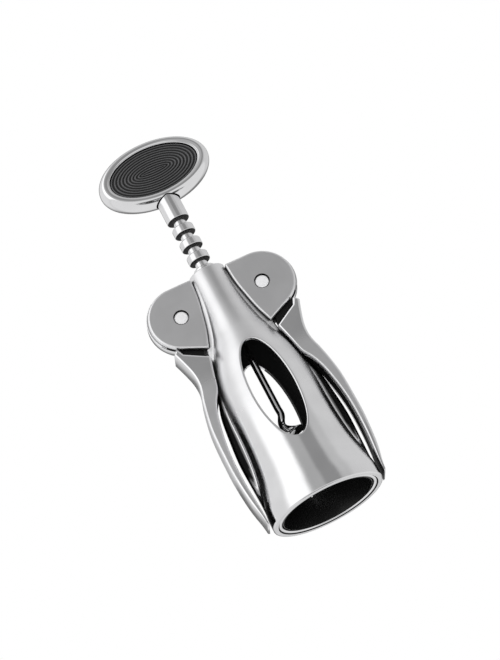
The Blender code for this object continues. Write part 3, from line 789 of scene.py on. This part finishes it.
def rim_section():
    """(share of the way in from the rim's outer edge to the pocket, distance from the middle plane)."""
    front = []
    for angle in np.linspace(0, pi / 2, RIM_STEPS):
        share = RIM_CROWN_SHARE * (1 - cos(angle) ** (2 / RIM_SQUARENESS))
        front.append((share, HANDLE_HALF_THICKNESS * sin(angle) ** (2 / RIM_SQUARENESS)))
    edge_share = POCKET_EDGE / (HANDLE_HALF_HEIGHT - PAD_HALF_HEIGHT)
    for share in np.linspace(RIM_CROWN_SHARE, 1 - edge_share, SLOPE_STEPS)[1:]:
        inward = (share - RIM_CROWN_SHARE) / (1 - RIM_CROWN_SHARE)
        front.append((share, HANDLE_HALF_THICKNESS - RIM_INNER_DROP * inward**2))
    top = front[-1][1] - POCKET_EDGE
    front += [(1 - edge_share * (1 - sin(angle)), top + POCKET_EDGE * cos(angle))
              for angle in np.linspace(POCKET_ROUND_START, pi / 2, 5)]
    front.append((1.0, PAD_FACE - 2 * PAD_HALF_THICKNESS - SEAT_GAP))
    return front


# The inner wall of the rim's socket gets painted shade
def in_socket(place, direction):
    way = from_axis(place)
    inside = way.length < COLLAR_RADIUS + SOCKET_GAP + SEAT_GAP
    return inside and direction.dot(way.normalized()) < -FACING


def make_handle_frame(material, shade_paint):
    turn = np.arange(HANDLE_SIDES) * 2 * pi / HANDLE_SIDES
    circle = np.stack((np.cos(turn), np.sin(turn)), axis=-1)
    outer = circle * (HANDLE_HALF_LENGTH, HANDLE_HALF_HEIGHT)
    pocket = circle * (PAD_HALF_LENGTH + SEAT_GAP / 2, PAD_HALF_HEIGHT + SEAT_GAP / 2)
    front = rim_section()
    section = [(share, -depth) for share, depth in reversed(front)] + front[1:]
    points = [(HANDLE_X + x, depth, HANDLE_HEIGHT + z) for share, depth in section
              for x, z in outer + (pocket - outer) * share]
    faces = grid_faces(len(section), HANDLE_SIDES, closed=True)
    faces.append(tuple(range(HANDLE_SIDES)))
    faces.append(tuple(range(len(points) - HANDLE_SIDES, len(points)))[::-1])
    rim = new_object("handle_rim", built_mesh("handle_rim", points, faces))
    top = HANDLE_HEIGHT - HANDLE_HALF_HEIGHT + RIM_CROWN_SHARE * (HANDLE_HALF_HEIGHT - PAD_HALF_HEIGHT)
    low = HANDLE_HEIGHT - HANDLE_HALF_HEIGHT - OVERRUN
    radius = COLLAR_RADIUS + SOCKET_GAP
    combine(rim, turned("collar_socket", [(0, top), (radius, top), (radius, low), (0, low)]), "DIFFERENCE")
    clean(rim)
    give(rim, material, shade_paint, in_socket)
    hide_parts("handle_frame")
    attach(rim, "spindle")


def socket_type(value):
    kinds = ((bpy.types.Object, "Object"), (int, "Int"), (float, "Float"))
    return "NodeSocket" + next(word for kind, word in kinds if isinstance(value, kind))


def grown_mesh(name, material, build, **sizes):
    """An object at the origin, with the mesh of a geometry node tree that has the sizes as inputs."""
    group = bpy.data.node_groups.new(name, "GeometryNodeTree")
    group.interface.new_socket("Geometry", in_out="OUTPUT", socket_type="NodeSocketGeometry")
    keys = [group.interface.new_socket(word, in_out="INPUT", socket_type=socket_type(value)).identifier
            for word, value in sizes.items()]
    tree = Tree(group)
    inputs = tree.node("NodeGroupInput").outputs
    made = build(tree, **{word: inputs[word] for word in sizes})
    real = tree.out("GeometryNodeRealizeInstances", {"Geometry": made})
    dressed = tree.out("GeometryNodeSetMaterial", {"Geometry": real, "Material": material})
    tree.node("NodeGroupOutput", {0: dressed})
    item = new_object(name, bpy.data.meshes.new(name), material)
    grow = item.modifiers.new("grow", "NODES")
    grow.node_group = group
    for key, value in zip(keys, sizes.values()):
        grow[key] = value
    apply_modifiers(item)
    item.data.name = name
    weld(item.data)
    return item


def ribbed_disc(nodes, side, rings, steps, ribs, rib_depth, half_length, half_height, height, face,
                edge_share, core_share):
    """A disc laid on a polar grid, with oval ribs that close in on a middle line."""
    grid = nodes.out("GeometryNodeMeshGrid", {
        "Size X": 1.0, "Size Y": 1.0, "Vertices X": rings, "Vertices Y": steps})
    place = nodes.split(nodes.out("GeometryNodeInputPosition"))
    share = nodes.math("ADD", place[0], 0.5)
    turn = nodes.times(nodes.math("ADD", place[1], 0.5), 2 * pi)
    phase = nodes.math("FRACT", nodes.times(share, ribs))
    wave = nodes.math("COSINE", nodes.times(phase, 2 * pi))
    valley = nodes.times(nodes.math("ADD", wave, 1.0), rib_depth, 1 / 2)
    near_edge = nodes.ramp(share, edge_share, 1.0, kind="LINEAR")
    drop = nodes.math("ADD", valley, nodes.times(near_edge, near_edge, rib_depth))
    depth = nodes.times(nodes.math("SUBTRACT", face, drop), side)
    stretched = nodes.ramp(share, 0.0, 1.0, core_share, 1.0, kind="LINEAR")
    across = nodes.times(stretched, nodes.math("COSINE", turn), half_length)
    rise = nodes.times(share, nodes.math("SINE", turn), half_height)
    laid = nodes.out("ShaderNodeCombineXYZ", {0: across, 1: depth, 2: nodes.math("ADD", rise, height)})
    return nodes.out("GeometryNodeSetPosition", {"Geometry": grid, "Position": laid})


def make_pad(side, word, material):
    pad = grown_mesh(
        "ribbed_pad_" + word, material, ribbed_disc, side=side, rings=PAD_RINGS, steps=PAD_SIDES + 1,
        ribs=RIBS, rib_depth=RIB_DEPTH, half_length=PAD_HALF_LENGTH, half_height=PAD_HALF_HEIGHT,
        height=HANDLE_HEIGHT, face=PAD_FACE, edge_share=PAD_EDGE_SHARE, core_share=PAD_CORE_SHARE)
    with edited(pad.data) as body:
        rim = [edge for edge in body.edges if edge.is_boundary]
        made = bmesh.ops.extrude_edge_only(body, edges=rim)["geom"]
        for part in made:
            if isinstance(part, bmesh.types.BMVert):
                part.co.y = side * (PAD_FACE - 2 * PAD_HALF_THICKNESS)
        edges = [part for part in made if isinstance(part, bmesh.types.BMEdge)]
        bmesh.ops.contextual_create(body, geom=edges)
        bmesh.ops.recalc_face_normals(body, faces=body.faces)
    smooth_but_creased(pad.data, PAD_CREASE)
    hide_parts("handle_inlay_" + word)
    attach(pad, "spindle")


# Rack: rings on a round rod under a plain collar
RACK_ROOT_RADIUS = 0.0024
RACK_RING_RADIUS = 0.00412
RACK_RING_HEIGHT = 0.00335
RACK_RINGS = 7
RACK_TOP_HEIGHT = 0.1236
RACK_TAIL_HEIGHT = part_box("rack_rod")[0][2]
RING_ROUND = 0.00060
COLLAR_ROUND = 0.0005
RACK_SIDES = 96
UNDERSIDE = -0.6


def rounded_band(inner, radius, low, high, edge):
    """Outline of a ring with rounded outer corners, as (radius, height) pairs."""
    top = arc((radius - edge, high - edge), edge, pi / 2, 0, 5)
    foot = arc((radius - edge, low + edge), edge, 0, -pi / 2, 5)
    return [(inner, high), *top, *foot, (inner, low)]


def ringed_rod(nodes, ring, rod, rings, pitch, top):
    """The rod, with one ring at each step of the rack's pitch down from the collar."""
    start, step = (nodes.out("ShaderNodeCombineXYZ", {2: height})
                   for height in (nodes.math("SUBTRACT", top, pitch), nodes.times(pitch, -1.0)))
    line = nodes.out("GeometryNodeMeshLine", {"Count": rings, "Start Location": start, "Offset": step})
    ring, rod = (nodes.node("GeometryNodeObjectInfo", {"Object": item}).outputs["Geometry"]
                 for item in (ring, rod))
    placed = nodes.out("GeometryNodeInstanceOnPoints", {"Points": line, "Instance": ring})
    joined = nodes.node("GeometryNodeJoinGeometry")
    for part in (placed, rod):
        nodes.feed(joined, {0: part})
    return joined.outputs[0]


# Undersides of the rack's rings and collar get painted shade
def is_underside(place, direction):
    return direction.z < UNDERSIDE and place.z > RACK_TAIL_HEIGHT + RING_ROUND


def make_rack(material, shade_paint):
    band = rounded_band(RACK_ROOT_RADIUS - SEAT_GAP, RACK_RING_RADIUS, 0.0, RACK_RING_HEIGHT, RING_ROUND)
    ring = turned("ring", band, sides=RACK_SIDES)
    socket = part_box("worm")[1][2] + SEAT_GAP
    wire = WORM_WIRE_RADIUS + SEAT_GAP
    foot = (COLLAR_RADIUS - COLLAR_ROUND, RACK_TOP_HEIGHT + COLLAR_ROUND)
    rod = turned("rod", [
        (0, COLLAR_TOP), (COLLAR_RADIUS, COLLAR_TOP), *arc(foot, COLLAR_ROUND, 0, -pi / 2, 5),
        (RACK_ROOT_RADIUS, RACK_TOP_HEIGHT), (RACK_ROOT_RADIUS, RACK_TAIL_HEIGHT),
        (wire, RACK_TAIL_HEIGHT), (wire, socket), (0, socket)], sides=RACK_SIDES)
    rack = grown_mesh("rack", material, ringed_rod, ring=ring, rod=rod, rings=RACK_RINGS,
                      pitch=RACK_PITCH, top=RACK_TOP_HEIGHT)
    for used in (ring, rod):
        bpy.data.objects.remove(used, do_unlink=True)
    smooth_but_creased(rack.data)
    give(rack, material, shade_paint, is_underside)
    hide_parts("rack_rod")
    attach(rack, "spindle")


# Worm: a wire that leaves the axis and winds down to its point
WORM_WIRE_RADIUS = 0.0013
WORM_COIL_RADIUS = 0.0039
WORM_PITCH = 0.0100
WORM_TIP_HEIGHT = 0.0055
WORM_TURNS = 2.5
WORM_FLARE_TURNS = 1.05
WORM_POINT_TURNS = 0.45
WORM_POINT_SHARE = 0.28
WORM_STEPS = 48
WORM_SIDES = 24
WORM_CREASE = 50


def wound_wire(nodes, steps, turn_step, pitch, tip_height, coil_radius, flare_start, flare_end,
               point_turns, point_share, wire_radius, sides):
    """A line bent into the worm's curve: its radius and wire thickness follow the height."""
    step = nodes.out("ShaderNodeCombineXYZ", {2: turn_step})
    line = nodes.out("GeometryNodeMeshLine", {"Count": steps, "Offset": step})
    turn = nodes.split(nodes.out("GeometryNodeInputPosition"))[2]
    flare = nodes.ramp(turn, flare_start, flare_end, 1.0, 0.0, kind="LINEAR")
    radius = nodes.times(flare, flare, coil_radius)
    angle = nodes.math("ADD", nodes.times(turn, 2 * pi), pi)
    x, y = (nodes.times(radius, nodes.math(kind, angle)) for kind in ("COSINE", "SINE"))
    z = nodes.math("ADD", nodes.times(turn, pitch), tip_height)
    bent = nodes.out("ShaderNodeCombineXYZ", {0: x, 1: y, 2: z})
    share = nodes.ramp(turn, 0.0, point_turns, point_share, 1.0, kind="LINEAR")
    stored = nodes.out("GeometryNodeStoreNamedAttribute", {
        "Geometry": line, "Name": "width", "Value": share}, data_type="FLOAT")
    wound = nodes.out("GeometryNodeSetPosition", {"Geometry": stored, "Position": bent})
    curve = nodes.out("GeometryNodeMeshToCurve", {"Mesh": wound})
    width = nodes.out("GeometryNodeInputNamedAttribute", {"Name": "width"}, data_type="FLOAT")
    circle = nodes.out("GeometryNodeCurvePrimitiveCircle", {"Resolution": sides, "Radius": wire_radius})
    return nodes.out("GeometryNodeCurveToMesh", {
        "Curve": curve, "Scale": width, "Fill Caps": True, "Profile Curve": circle})


def make_worm(material):
    turns = (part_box("worm")[1][2] - WORM_TIP_HEIGHT) / WORM_PITCH
    steps = int(turns * WORM_STEPS)
    worm = grown_mesh(
        "wound_worm", material, wound_wire, steps=steps, turn_step=turns / (steps - 1), pitch=WORM_PITCH,
        tip_height=WORM_TIP_HEIGHT, coil_radius=WORM_COIL_RADIUS, flare_start=WORM_TURNS,
        flare_end=WORM_TURNS + WORM_FLARE_TURNS, point_turns=WORM_POINT_TURNS,
        point_share=WORM_POINT_SHARE, wire_radius=WORM_WIRE_RADIUS, sides=WORM_SIDES)
    smooth_but_creased(worm.data, WORM_CREASE)
    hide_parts("worm")
    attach(worm, "spindle")


# Pins, mouth ring, liner and bush
PIN_DOME = 0.00018
PIN_DOME_SHARE = 0.86
PIN_ROUND = 0.00030
PIN_SIDES = 64
RING_EDGE = 0.0003
LINER_WALL = 0.0016
LINER_LIP_WALL = 0.0004
LINER_LIP_HEIGHT = 0.0070
LINER_STEP = 0.0004
STOP_THICKNESS = 0.0020
STOP_HOLE_RADIUS = 0.0120
SEAT_FACING = -0.2


def replace_turned(name, profile, node, body, materials, sides=160):
    item = turned(name, profile, None, sides)
    give(item, *materials)
    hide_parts(node)
    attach(item, body)


def make_pin(side, word, material):
    """A pin whose two ends are slightly domed, on its axis along Y."""
    end = PIN_HALF_LENGTH - PIN_DOME
    half = [(PIN_RADIUS * sin(angle) * PIN_DOME_SHARE, end + PIN_DOME * cos(angle) ** 2)
            for angle in np.linspace(0, pi / 2, 7)]
    half += arc((PIN_RADIUS - PIN_ROUND, end - PIN_ROUND), PIN_ROUND, pi / 2, 0, 4)
    profile = half + [(r, -y) for r, y in reversed(half)]
    pin = turned(word + "_pin", profile, material, PIN_SIDES)
    place = Matrix.Translation((side * PIN_OFFSET, 0, PIN_HEIGHT))
    pin.data.transform(place @ Matrix.Rotation(pi / 2, 4, "X"))
    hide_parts(word + "_lever_pin")
    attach(pin, "bell")


# The ring's top and outer wall, in the seam where it sits in the bell, get painted shade
def faces_seat(place, direction):
    return direction.z > SEAT_FACING and from_axis(place).length > LINER_RADIUS + 2 * SEAT_GAP


def make_mouth_ring(material, shade_paint):
    low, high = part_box("mouth_ring")
    outer, inner = high[0], LINER_RADIUS + SEAT_GAP
    foot = low[2] + RING_EDGE
    profile = [(inner, high[2]), (outer, high[2]), *arc((outer - RING_EDGE, foot), RING_EDGE, 0, -pi / 2, 4),
               *arc((inner + RING_EDGE, foot), RING_EDGE, -pi / 2, -pi, 4)]
    replace_turned("bright_ring", profile, "mouth_ring", "bell", (material, shade_paint, faces_seat))


def make_liner(material):
    low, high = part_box("bell_liner")
    ring_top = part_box("mouth_ring")[1][2]
    narrow = LINER_RADIUS - LINER_TAPER
    shoulder = high[2] - STOP_THICKNESS
    foot = arc((LINER_RADIUS - LINER_LIP_WALL, low[2] + LINER_LIP_WALL), LINER_LIP_WALL, 0, -pi / 2, 4)
    profile = [(STOP_HOLE_RADIUS, high[2]), (narrow, high[2]), (LINER_RADIUS, ring_top), *foot,
               (LINER_RADIUS - LINER_WALL, low[2] + LINER_LIP_HEIGHT),
               (narrow - LINER_WALL, shoulder - LINER_STEP),
               (narrow - LINER_WALL - LINER_STEP, shoulder), (STOP_HOLE_RADIUS + LINER_STEP, shoulder),
               (STOP_HOLE_RADIUS, shoulder + LINER_STEP)]
    replace_turned("moulded_liner", profile, "bell_liner", "bell", (material,))


def make_bush(material):
    low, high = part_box("neck_bush")
    profile = rounded_band(COLLAR_RADIUS + SEAT_GAP, high[0], low[2], high[2], RING_EDGE)
    replace_turned("guide_bush", profile, "neck_bush", "bush", (material,), 96)


# Camera: where it stands, what it looks at, its roll and its lens
CAMERA_PLACE = Vector((-0.1334, -0.8425, -0.2620))
CAMERA_TARGET = Vector((0.004395, -0.000696, 0.0723))
CAMERA_ROLL = radians(-28)
CAMERA_LENS = 138.05
CAMERA_SENSOR = 36
CAMERA_NEAR = 0.01


def make_camera():
    camera_data = bpy.data.cameras.new("camera")
    camera_data.lens = CAMERA_LENS
    camera_data.sensor_width = CAMERA_SENSOR
    camera_data.clip_start = CAMERA_NEAR
    camera = new_object("camera", camera_data)
    aim = (CAMERA_TARGET - CAMERA_PLACE).to_track_quat("-Z", "Y").to_matrix().to_4x4()
    camera.matrix_world = Matrix.Translation(CAMERA_PLACE) @ aim @ Matrix.Rotation(CAMERA_ROLL, 4, "Z")
    bpy.context.scene.camera = camera


# Studio: azimuth from the front to the right and height in degrees, edge softness, brightness
STUDIO_BASE = 0.5
STUDIO = (
    ((-180, 180), (-90, 90), 4, 0.62),
    ((-154, -80), (-15, 90), 8, 0.95),
    ((-80, -24), (-15, 90), 9, 1.50),
    ((-24, 4), (-15, 90), 8, 0.54),
    ((4, 40), (-15, 90), 5, 0.35),
    ((40, 62), (-15, 90), 8, 0.66),
    ((62, 146), (-15, 90), 8, 0.80),
    ((152, 200), (-15, 50), 6, 0.26),
    ((-200, -164), (-15, 50), 6, 0.26),
    ((-24, 62), (52, 90), 9, 0.64),
    ((-180, 180), (74, 100), 8, 0.75),
    ((-180, 180), (-90, -15), 6, 0.95),
    ((-180, 180), (-100, -68), 4, 0.05),
)


def make_studio():
    """White card for the camera. The metal reflects soft boxes and dark flags, later ones on top."""
    world = bpy.data.worlds.new("studio")
    bpy.context.scene.world = world
    world.use_nodes = True
    tree = Tree(world.node_tree)
    tree.tree.nodes.clear()
    x, y, z = tree.split(tree.node("ShaderNodeTexCoord").outputs["Generated"])
    azimuth = tree.math("DEGREES", tree.math("ARCTAN2", x, tree.times(y, -1.0)))
    height = tree.math("DEGREES", tree.math("ARCSINE", z))
    brightness = STUDIO_BASE
    for (left, right), (low, high), soft, value in STUDIO:
        mask = tree.band(height, low, high, soft)
        if right - left < 360:
            mask = tree.times(mask, tree.band(azimuth, left, right, soft))
        brightness = tree.mix(mask, brightness, value)
    studio = tree.out("ShaderNodeBackground", {"Strength": brightness})
    card = tree.out("ShaderNodeBackground", {"Color": (1, 1, 1, 1), "Strength": 1.0})
    seen = tree.node("ShaderNodeLightPath").outputs["Is Camera Ray"]
    mixed = tree.out("ShaderNodeMixShader", {0: seen, 1: studio, 2: card})
    tree.node("ShaderNodeOutputWorld", {"Surface": mixed})
    bpy.context.scene.view_settings.view_transform = "Standard"


# Floor: its half width, drop and colour, and from where to where it melts into the white card
PAPER_HALF_WIDTH = 4.0
PAPER_DROP = 0.0002
PAPER_COLOUR = (0.86, 0.86, 0.86, 1)
PAPER_FADE = (0.35, 0.95)


def make_floor():
    """Pale floor that shows from above near the object, and lets the low camera look up through it."""
    mesh = bpy.data.meshes.new("floor")
    with edited(mesh) as body:
        bmesh.ops.create_grid(body, x_segments=1, y_segments=1, size=PAPER_HALF_WIDTH)
    material = bpy.data.materials.new("floor_paper")
    material.use_nodes = True
    tree = Tree(material.node_tree)
    tree.tree.nodes.clear()
    seen = tree.node("ShaderNodeLightPath").outputs["Is Camera Ray"]
    below = tree.node("ShaderNodeNewGeometry").outputs["Backfacing"]
    place = tree.node("ShaderNodeTexCoord").outputs["Object"]
    away = tree.node("ShaderNodeVectorMath", {0: place}, operation="LENGTH").outputs["Value"]
    near = tree.ramp(away, *PAPER_FADE, 1.0, 0.0)
    share = tree.times(seen, near, tree.math("SUBTRACT", 1.0, below))
    paper = tree.out("ShaderNodeBsdfDiffuse", {"Color": PAPER_COLOUR})
    clear = tree.out("ShaderNodeBsdfTransparent")
    mixed = tree.out("ShaderNodeMixShader", {0: share, 1: clear, 2: paper})
    tree.node("ShaderNodeOutputMaterial", {"Surface": mixed})
    floor = new_object("floor", mesh, material)
    floor.location.z = -PAPER_DROP


# Lamps: name, place, size and power, all aimed at the middle of the object
LAMPS = (
    ("key", (-0.55, -0.75, 0.85), 0.6, 9.0),
    ("fill", (0.70, -0.60, 0.30), 0.6, 4.0),
    ("low", (-0.20, -0.80, -0.35), 0.5, 3.0),
)
LAMP_TARGET = Vector((0, 0, 0.07))


def make_lamps():
    for name, place, size, power in LAMPS:
        lamp_data = bpy.data.lights.new(name, "AREA")
        lamp_data.size = size
        lamp_data.energy = power
        lamp = new_object(name, lamp_data)
        lamp.location = place
        lamp.rotation_euler = (Vector(place) - LAMP_TARGET).to_track_quat("Z", "Y").to_euler()
        lamp.visible_glossy = False
        lamp.visible_camera = False


# Finishes: name, colour, metallic, roughness, its spread, grain and relief in metres, gloss
FINISHES = (
    ("chrome", (0.93, 0.93, 0.94), 1, 0.07, 0.02, 0.0008, 0.000002, 0.50),
    ("cast_chrome", (0.90, 0.90, 0.91), 1, 0.13, 0.03, 0.0007, 0.000004, 0.50),
    ("wing_chrome", (0.90, 0.90, 0.91), 1, 0.13, 0.03, 0.0007, 0.000004, 0.50),
    # The near-black finish below is painted shade, for hollows, slots, undersides and seams of the metal
    # parts
    ("painted_shade_casting", (0.006, 0.006, 0.006), 0, 0.50, 0.06, 0.0007, 0.000008, 0.20),
    ("black_plastic", (0.004, 0.004, 0.004), 0, 0.24, 0.05, 0.0004, 0.000006, 0.35),
    ("rivet_steel", (0.90, 0.90, 0.91), 0.6, 0.42, 0.08, 0.0009, 0.000006, 0.50),
    ("grey_rubber", (0.060, 0.060, 0.062), 0, 0.62, 0.08, 0.0004, 0.000015, 0.50),
)
BROAD_SHARE = 0.06
BROAD_TONE = 0.93
GRAIN_LOW, GRAIN_HIGH = 0.3, 0.7

# Painted shade in the casting's hollows, and worn bands: from and to a height, with a soft edge
HOLLOW_PAINTED_SHADE_COLOUR = (0.015, 0.015, 0.015)
HOLLOW_PAINTED_SHADE_ROUGHNESS = 0.45
WINGS_WORN = (0.020, 0.060, 0.004)
NECK_WORN = (0.040, 0.110, 0.010)
WORN_ROUGHNESS = 0.36

# Ribs of the pads: colour of the ridges and painted shade in the valleys, and the share of the depth where
# they change
RIDGE_COLOUR = (0.060, 0.060, 0.062)
VALLEY_PAINTED_SHADE_COLOUR = (0.006, 0.006, 0.006)
VALLEY_START, VALLEY_END = 0.15, 0.75


def shader_of(material):
    tree = Tree(material.node_tree)
    return tree, tree.tree.nodes["Principled BSDF"]


def source(shader, name):
    """What feeds an input of the shader."""
    return shader.inputs[name].links[0].from_socket


def object_place(tree):
    return tree.node("ShaderNodeTexCoord").outputs["Object"]


def surface(name, colour, metallic, roughness, spread, grain, relief, gloss):
    """A finish whose roughness, tone and surface vary on the scale of its grain."""
    material = bpy.data.materials.new(name)
    material.use_nodes = True
    tree, shader = shader_of(material)
    place = object_place(tree)
    fine, broad = (tree.out("ShaderNodeTexNoise", {"Vector": place, "Scale": share / grain, "Detail": detail})
                   for share, detail in ((1, 3.0), (BROAD_SHARE, 2.0)))
    tone = tree.ramp(broad, GRAIN_LOW, GRAIN_HIGH)
    bump = tree.out("ShaderNodeBump", {"Height": fine, "Strength": 1.0, "Distance": relief})
    tree.feed(shader, {
        "Roughness": tree.ramp(fine, GRAIN_LOW, GRAIN_HIGH, roughness - spread, roughness + spread),
        "Base Color": tree.blend(tone, tuple(BROAD_TONE * part for part in colour), colour),
        "Metallic": metallic, "Specular IOR Level": gloss, "Normal": bump,
    })
    return material


def paint_shade_in_hollows(material):
    """Where the mesh has a shade attribute, the finish goes over into a dark, rough painted shade."""
    tree, shader = shader_of(material)
    painted_shade_share = tree.node("ShaderNodeAttribute", attribute_name="shade").outputs["Fac"]
    tree.feed(shader, {"Base Color": tree.blend(painted_shade_share, source(shader, "Base Color"), HOLLOW_PAINTED_SHADE_COLOUR),
                       "Roughness": tree.mix(painted_shade_share, source(shader, "Roughness"), HOLLOW_PAINTED_SHADE_ROUGHNESS)})


def wear(material, low, high, softness):
    """Fingers have dulled the polish between two heights."""
    tree, shader = shader_of(material)
    worn = tree.band(tree.split(object_place(tree))[2], low, high, softness)
    tree.feed(shader, {"Roughness": tree.mix(worn, source(shader, "Roughness"), WORN_ROUGHNESS)})


def paint_shade_in_valleys(material):
    """Colour of a ribbed pad from its ridges down to painted shade in its valleys."""
    tree, shader = shader_of(material)
    across = tree.split(object_place(tree))[1]
    depth = tree.math("SUBTRACT", PAD_FACE, tree.math("ABSOLUTE", across))
    share = tree.ramp(depth, VALLEY_START * RIB_DEPTH, VALLEY_END * RIB_DEPTH)
    tree.feed(shader, {"Base Color": tree.blend(share, RIDGE_COLOUR, VALLEY_PAINTED_SHADE_COLOUR)})


make_camera()
make_studio()
make_floor()
make_lamps()
finishes = [surface(*finish) for finish in FINISHES]
chrome, cast_chrome, wing_chrome, painted_shade_casting, plastic, rivet, rubber = finishes
# Paint shade into the casting's hollows, as far as its shade attribute says
paint_shade_in_hollows(cast_chrome)
wear(wing_chrome, *WINGS_WORN)
wear(cast_chrome, *NECK_WORN)
paint_shade_in_valleys(rubber)

make_bell_casting(cast_chrome, painted_shade_casting)
make_mouth_ring(chrome, painted_shade_casting)
make_liner(plastic)
make_bush(plastic)
for side, word in SIDES:
    make_wing(side, word, wing_chrome, painted_shade_casting)
    make_pin(side, word, rivet)
make_rack(wing_chrome, painted_shade_casting)
make_worm(chrome)
make_handle_frame(chrome, painted_shade_casting)
for side, word in ((-1, "front"), (1, "back")):
    make_pad(side, word, rubber)
